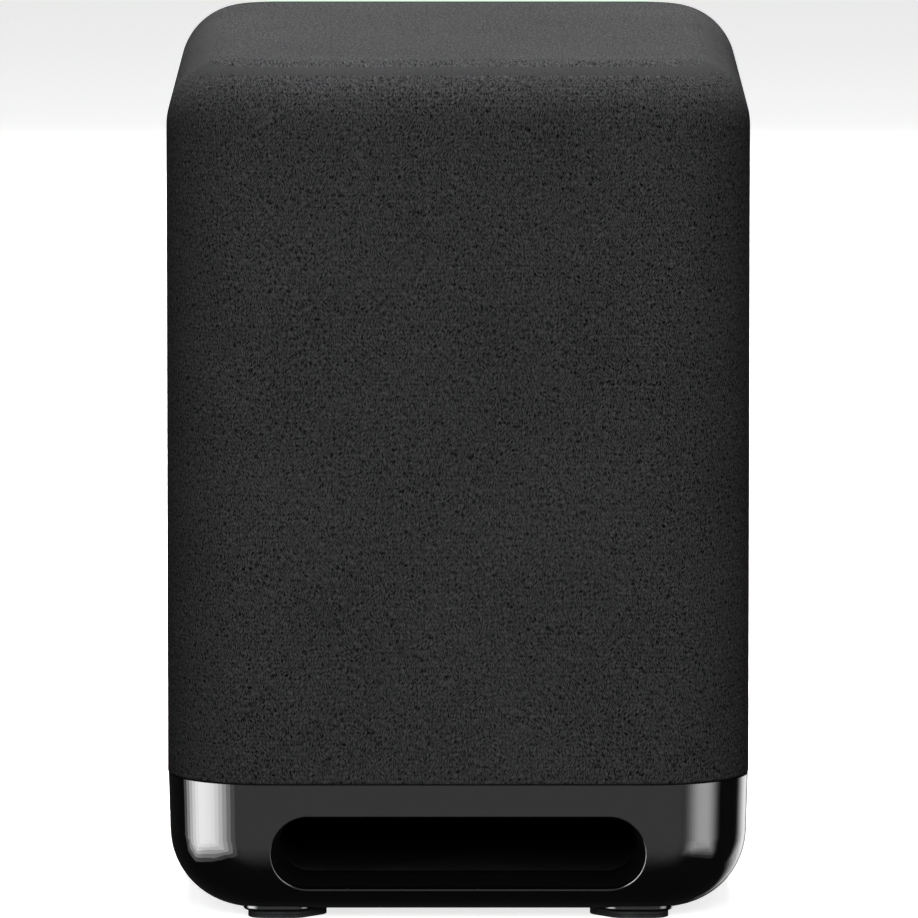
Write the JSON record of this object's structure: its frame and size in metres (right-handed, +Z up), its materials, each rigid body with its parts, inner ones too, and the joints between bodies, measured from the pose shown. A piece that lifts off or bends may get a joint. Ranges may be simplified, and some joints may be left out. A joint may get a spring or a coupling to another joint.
{
  "type": "subwoofer",
  "caption": "Floor-standing wireless subwoofer with a knit-covered rounded cabinet, front-firing driver behind the cloth, gloss base with a front slot port, feet and a rear amplifier panel.",
  "frame": {"origin": "on the floor, under the middle of the cabinet", "axes": "-Y out of the front, +X to the right as seen from the front, +Z up"},
  "size_m": [0.26, 0.4, 0.385],
  "materials": {
    "knit": "fine warp knit cloth, charcoal",
    "gloss_black": "polished black moulding",
    "board": "raw medium-density fibreboard, sealed",
    "satin_black": "fine-textured black moulding",
    "foot_rubber": "soft black rubber",
    "foam_black": "closed-cell foam",
    "steel_black": "black powder coat",
    "steel_zinc": "zinc-plated steel",
    "steel_dark": "black oxide screws",
    "cone_pulp": "pressed paper pulp, black",
    "spider_cloth": "resin-dipped woven cloth",
    "kapton": "amber film former",
    "copper": "enamelled copper wire",
    "ferrite": "ground ferrite",
    "surround_rubber": "moulded butyl rubber",
    "circuit_green": "green solder mask over glass laminate",
    "alu": "extruded aluminium",
    "chip_black": "moulded epoxy",
    "core_grey": "pressed ferrite core",
    "winding_tape": "yellow polyester tape over the winding",
    "cap_sleeve": "shrink sleeve over an aluminium can",
    "fuse_glass": "glass tube with plated caps",
    "pin_nickel": "nickel-plated brass",
    "lens": "frosted clear light guide",
    "lead_pvc": "soft PVC sheath",
    "wadding": "white polyester wadding"
  },
  "bodies": {
    "enclosure": {"ac_inlet": "satin_black", "amp_board": "circuit_green", "amp_chips": "chip_black", "amp_tub": "satin_black", "base_screws": "steel_zinc", "base_shell": "gloss_black", "board_screws": "steel_zinc", "board_standoffs": "steel_zinc", "cabinet": "board", "cabinet_brace": "board", "control_board": "circuit_green", "damping_wadding": "wadding", "driver_baffle": "board", "driver_basket": "steel_black", "driver_gasket": "foam_black", "driver_screws": "steel_dark", "driver_terminals": "chip_black", "fabric_cover": "knit", "filter_capacitors": "cap_sleeve", "foot_holder_front_left": "gloss_black", "foot_holder_front_right": "gloss_black", "foot_holder_rear_left": "gloss_black", "foot_holder_rear_right": "gloss_black", "foot_pad_front_left": "foot_rubber", "foot_pad_front_right": "foot_rubber", "foot_pad_rear_left": "foot_rubber", "foot_pad_rear_right": "foot_rubber", "foot_screws": "steel_zinc", "heatsink": "alu", "inlet_pins": "pin_nickel", "lead_grommet": "foam_black", "link_led_lens": "lens", "magnet": "ferrite", "mains_fuse": "fuse_glass", "mains_wires": "lead_pvc", "output_inductors": "copper", "pole_yoke": "steel_zinc", "port_duct": "satin_black", "port_flare": "satin_black", "power_led_lens": "lens", "rear_panel": "satin_black", "rear_panel_screws": "steel_dark", "seam_gasket": "foam_black", "speaker_lead": "lead_pvc", "spider": "spider_cloth", "support_grille": "satin_black", "surround": "surround_rubber", "tact_switches": "steel_zinc", "top_plate": "steel_zinc", "transformer_core": "core_grey", "transformer_winding": "winding_tape", "wireless_module": "alu"},
    "moving_cone": {"cone": "cone_pulp", "dust_cap": "cone_pulp", "voice_coil_former": "kapton", "voice_coil_winding": "copper"},
    "power_key": {"power_button": "satin_black", "power_plunger": "chip_black"},
    "link_key": {"link_button": "satin_black", "link_plunger": "chip_black"}
  },
  "joints": [
    {"name": "cone_travel", "type": "slide", "parent": "enclosure", "child": "moving_cone", "axis": [0, -1, 0], "range_m": [-0.006, 0.006], "stiffness_N_per_m": 2500, "deforming": ["surround", "spider"]},
    {"name": "power_button_press", "type": "slide", "parent": "enclosure", "child": "power_key", "axis": [0, -1, 0], "range_m": [0, 0.0012], "stiffness_N_per_m": 600},
    {"name": "link_button_press", "type": "slide", "parent": "enclosure", "child": "link_key", "axis": [0, -1, 0], "range_m": [0, 0.0012], "stiffness_N_per_m": 600}
  ]
}
